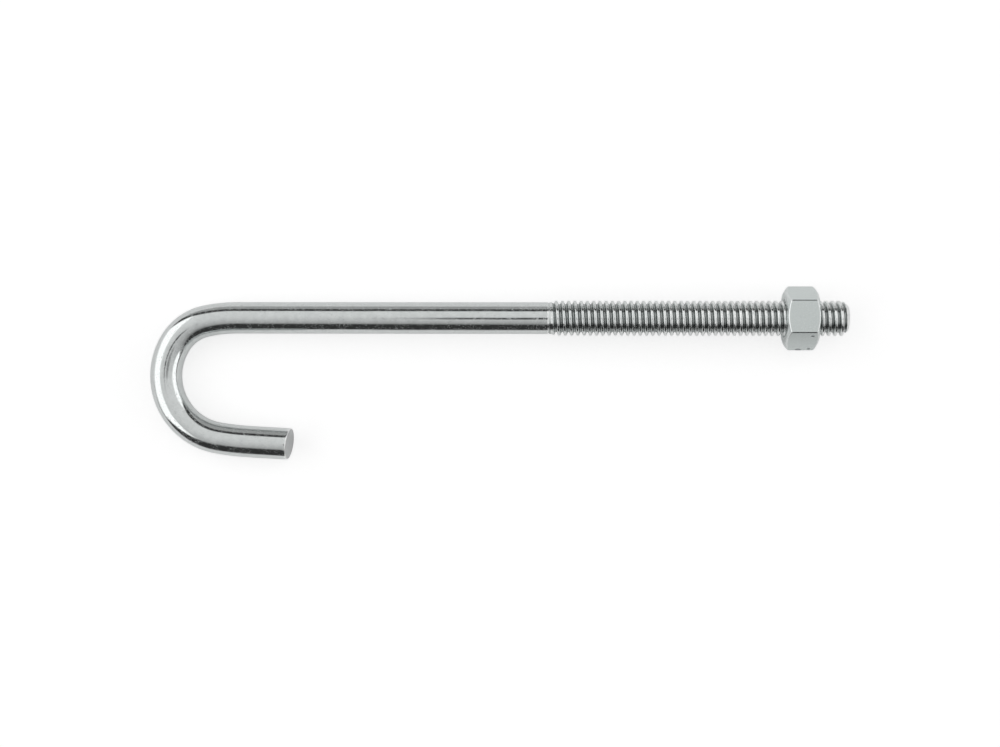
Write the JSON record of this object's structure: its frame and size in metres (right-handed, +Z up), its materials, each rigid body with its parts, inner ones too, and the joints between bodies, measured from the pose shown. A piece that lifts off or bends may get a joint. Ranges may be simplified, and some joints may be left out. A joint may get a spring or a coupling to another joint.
{
  "type": "j-bolt",
  "caption": "Round steel rod bent into an open hook at its far end and threaded towards its tip, with a hex nut on the thread; ties a beam, strap or eye down.",
  "frame": {"origin": "on the ground under the middle of the bolt as it lies on its side", "axes": "+Z up; +X along the bolt from the hook towards the tip; the hook's leg lies towards -Y of the shank"},
  "size_m": [0.1582, 0.0395, 0.0129],
  "materials": {
    "rod_plating": "bright zinc plate over drawn steel",
    "nut_plating": "satin zinc plate"
  },
  "bodies": {
    "rod": {"hooked_rod": "rod_plating"},
    "nut": {"hex_nut": "nut_plating"}
  },
  "joints": [
    {"name": "nut_travel", "type": "slide", "parent": "rod", "child": "nut", "axis": [0.9998, 0, 0.0198], "range_m": [-0.04939, 0.01552]}
  ]
}
